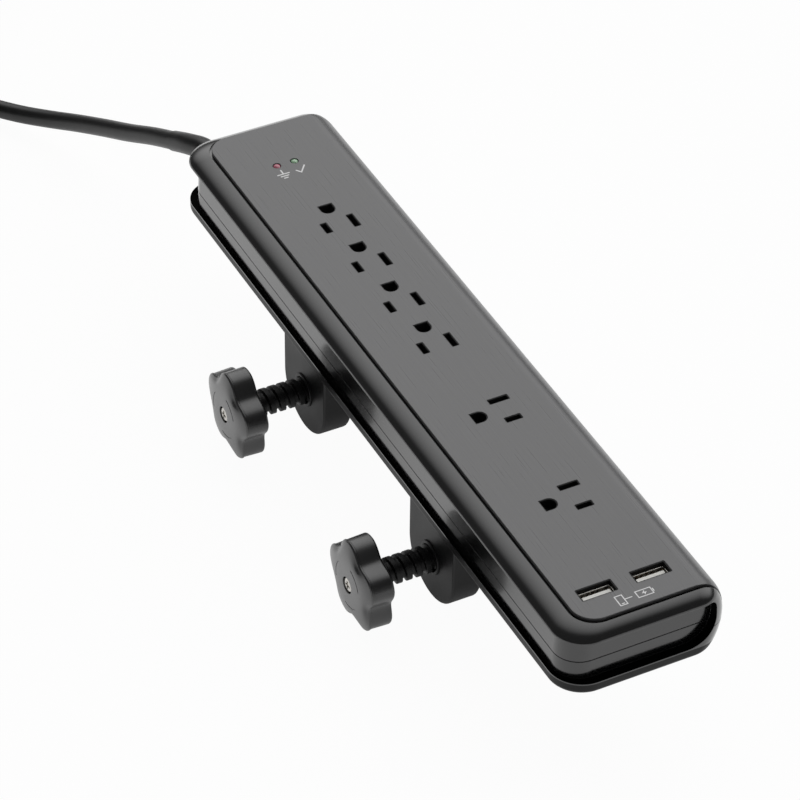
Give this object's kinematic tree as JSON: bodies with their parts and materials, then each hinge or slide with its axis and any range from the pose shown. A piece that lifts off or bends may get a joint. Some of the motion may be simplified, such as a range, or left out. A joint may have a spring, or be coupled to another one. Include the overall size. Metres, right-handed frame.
{
  "type": "desk clamp power strip",
  "caption": "Flat power strip with grounded outlets, USB ports and a wrap-around face plate, held to a desk edge by screw clamps with lobed knobs; mains cord coiled beside it.",
  "frame": {"origin": "on the surface that the clamp jaws stand on, under the middle of the strip with its clamps and knobs, the cord left out", "axes": "+X along the strip towards the USB end, +Y from the clamp knobs to the rounded spine, +Z out of the outlet face"},
  "size_m": [0.6965, 0.1593, 0.0743],
  "materials": {
    "gloss_black_abs": "polished moulding",
    "brushed_charcoal_plate": "satin, brushed lengthwise",
    "satin_black_nylon": "satin moulding",
    "black_pvc": "soft satin",
    "black_rubber": "matte",
    "nickel_steel": "nickel plated",
    "brass": "stamped",
    "circuit_board": "solder mask",
    "blue_epoxy": "dipped epoxy",
    "white_pbt": "moulded",
    "green_lens": "clear tinted lens",
    "red_lens": "clear tinted lens"
  },
  "bodies": {
    "strip": {"top_shell": "gloss_black_abs", "bottom_shell": "gloss_black_abs", "face_plate": "brushed_charcoal_plate", "housing_screw_1": "nickel_steel", "housing_screw_2": "nickel_steel", "housing_screw_3": "nickel_steel", "housing_screw_4": "nickel_steel", "housing_screw_5": "nickel_steel", "housing_screw_6": "nickel_steel", "hot_bus_bar": "brass", "neutral_bus_bar": "brass", "ground_bus_bar": "brass", "surge_board": "circuit_board", "usb_board": "circuit_board", "varistor_1": "blue_epoxy", "varistor_2": "blue_epoxy", "varistor_3": "blue_epoxy", "lamp_protected": "green_lens", "lamp_grounded": "red_lens", "usb_shell_1": "nickel_steel", "usb_shell_2": "nickel_steel", "usb_tongue_1": "white_pbt", "usb_tongue_2": "white_pbt", "clamp_bracket_1": "satin_black_nylon", "clamp_bracket_2": "satin_black_nylon", "bracket_screw_1a": "nickel_steel", "bracket_screw_1b": "nickel_steel", "bracket_screw_2a": "nickel_steel", "bracket_screw_2b": "nickel_steel", "strain_relief": "black_pvc", "cord_lead": "black_pvc", "cord_coil": "black_pvc", "cord_tie": "satin_black_nylon", "plug_body": "black_pvc", "plug_hot_blade": "brass", "plug_neutral_blade": "brass", "plug_ground_pin": "brass"},
    "pad_1": {"pressure_pad_1": "black_rubber"},
    "pad_2": {"pressure_pad_2": "black_rubber"},
    "screw_1": {"clamp_screw_1": "satin_black_nylon", "clamp_knob_1": "satin_black_nylon", "knob_bolt_1": "nickel_steel"},
    "screw_2": {"clamp_screw_2": "satin_black_nylon", "clamp_knob_2": "satin_black_nylon", "knob_bolt_2": "nickel_steel"}
  },
  "joints": [
    {"name": "pad_slide_1", "type": "slide", "parent": "strip", "child": "pad_1", "axis": [0, 1, 0], "range_m": [-0.00148, 0.02348]},
    {"name": "pad_slide_2", "type": "slide", "parent": "strip", "child": "pad_2", "axis": [0, 1, 0], "range_m": [-0.00148, 0.02348]},
    {"name": "knob_turn_1", "type": "hinge", "parent": "pad_1", "child": "screw_1", "pos_m": [-0.05835, 0, 0.02], "axis": [0, 1, 0], "range_deg": [-120, 1920]},
    {"name": "knob_turn_2", "type": "hinge", "parent": "pad_2", "child": "screw_2", "pos_m": [0.05835, 0, 0.02], "axis": [0, 1, 0], "range_deg": [-120, 1920]}
  ],
  "couplings": [
    {"joint": "pad_slide_1", "follows": "knob_turn_1", "m_per_rad": 0.00070028},
    {"joint": "pad_slide_2", "follows": "knob_turn_2", "m_per_rad": 0.00070028}
  ]
}
